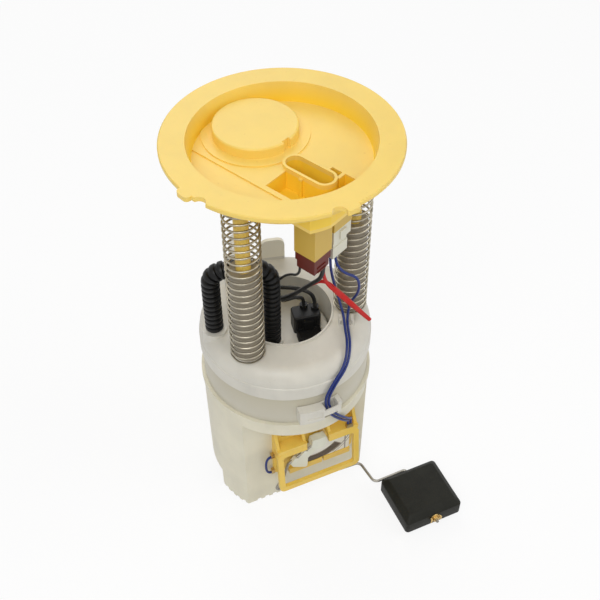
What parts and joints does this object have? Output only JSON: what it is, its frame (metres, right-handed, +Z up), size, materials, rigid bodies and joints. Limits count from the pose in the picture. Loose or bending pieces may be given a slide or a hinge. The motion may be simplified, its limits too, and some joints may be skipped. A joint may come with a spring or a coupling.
{
  "type": "fuel pump module",
  "caption": "In-tank fuel pump module: sprung flange with socket over a round reservoir pot, corrugated hose, pump in a well, level sender with hinged float arm.",
  "frame": {"origin": "centre of the flat pad under the pot, on the plane the module stands on", "axes": "+Z up along the pump axis from the foot to the flange; the level sender faces -Y; the float hangs to +X"},
  "size_m": [0.1567, 0.1763, 0.29],
  "materials": {
    "milky_plastic": "satin moulded acetal",
    "white_plastic": "satin moulded acetal",
    "yellow_plastic": "satin moulded acetal",
    "valve_rubber": "matte",
    "filter_paper": "pleated paper",
    "hose_plastic": "semi gloss",
    "pump_steel": "brushed",
    "cast_alloy": "die cast",
    "magnet": "sintered ferrite",
    "carbon": "pressed carbon",
    "black_plastic": "satin",
    "brass": "plain",
    "strainer_mesh": "woven nylon",
    "steel": "drawn",
    "copper": "turned copper",
    "ceramic": "fired ceramic",
    "lever_plastic": "satin",
    "float_foam": "matte cellular rubber",
    "tin": "tin plate",
    "spring_steel": "drawn",
    "maroon_plastic": "satin",
    "plug_white": "satin",
    "black_wire": "satin insulation",
    "red_wire": "satin insulation",
    "blue_wire": "satin insulation"
  },
  "bodies": {
    "reservoir": {"reservoir_pot": "milky_plastic", "foot_valve": "valve_rubber", "reservoir_lid": "white_plastic", "filter_base": "white_plastic", "filter_element": "filter_paper", "lid_wire_clip": "white_plastic", "pot_wire_clip": "white_plastic", "corrugated_hose": "hose_plastic", "pump_case": "pump_steel", "pump_inlet_cover": "cast_alloy", "pump_chamber_plate": "cast_alloy", "motor_magnets": "magnet", "motor_brushes": "carbon", "pump_end_bell": "black_plastic", "pump_top_cover": "white_plastic", "pump_terminals": "brass", "pump_connector": "black_plastic", "pump_holder": "white_plastic", "pump_isolator": "valve_rubber", "inlet_strainer": "strainer_mesh", "sender_body": "yellow_plastic", "resistor_card": "ceramic", "resistor_track": "carbon", "sender_terminals": "brass", "pivot_pin": "steel", "spring_left": "spring_steel", "spring_right": "spring_steel", "black_lead": "black_wire", "thin_lead": "black_wire", "red_supply_lead": "red_wire", "red_pump_lead": "red_wire", "splice_sleeve": "red_wire", "blue_lead_a": "blue_wire", "blue_lead_b": "blue_wire", "sender_loop_lead": "blue_wire"},
    "flange": {"flange": "yellow_plastic", "connector_pins": "tin", "guide_rod_left": "yellow_plastic", "guide_rod_right": "yellow_plastic", "pump_plug": "maroon_plastic", "sender_plug": "plug_white"},
    "pump_rotor": {"motor_shaft": "steel", "armature": "steel", "commutator": "copper", "impeller": "black_plastic"},
    "float_arm": {"float_arm": "steel", "wiper_lever": "lever_plastic", "wiper_contact": "brass", "float_clip": "brass"},
    "float": {"float": "float_foam"}
  },
  "joints": [
    {"name": "flange_slide", "type": "slide", "parent": "reservoir", "child": "flange", "axis": [0, 0, 1], "range_m": [-0.04, 0], "stiffness_N_per_m": 700, "springref_m": 0.03, "deforming": ["spring_left", "spring_right", "black_lead", "thin_lead", "red_supply_lead", "red_pump_lead", "splice_sleeve", "blue_lead_a", "blue_lead_b"]},
    {"name": "pump_spin", "type": "hinge", "parent": "reservoir", "child": "pump_rotor", "pos_m": [0, 0, 0.08], "axis": [0, 0, 1], "continuous": true},
    {"name": "float_arm_swing", "type": "hinge", "parent": "reservoir", "child": "float_arm", "pos_m": [0.0055, -0.0399, 0.058], "axis": [0, -1, 0], "range_deg": [0, 60]},
    {"name": "float_swivel", "type": "hinge", "parent": "float_arm", "child": "float", "pos_m": [0.0675, -0.083, 0.012], "axis": [0, -1, 0], "continuous": true}
  ]
}
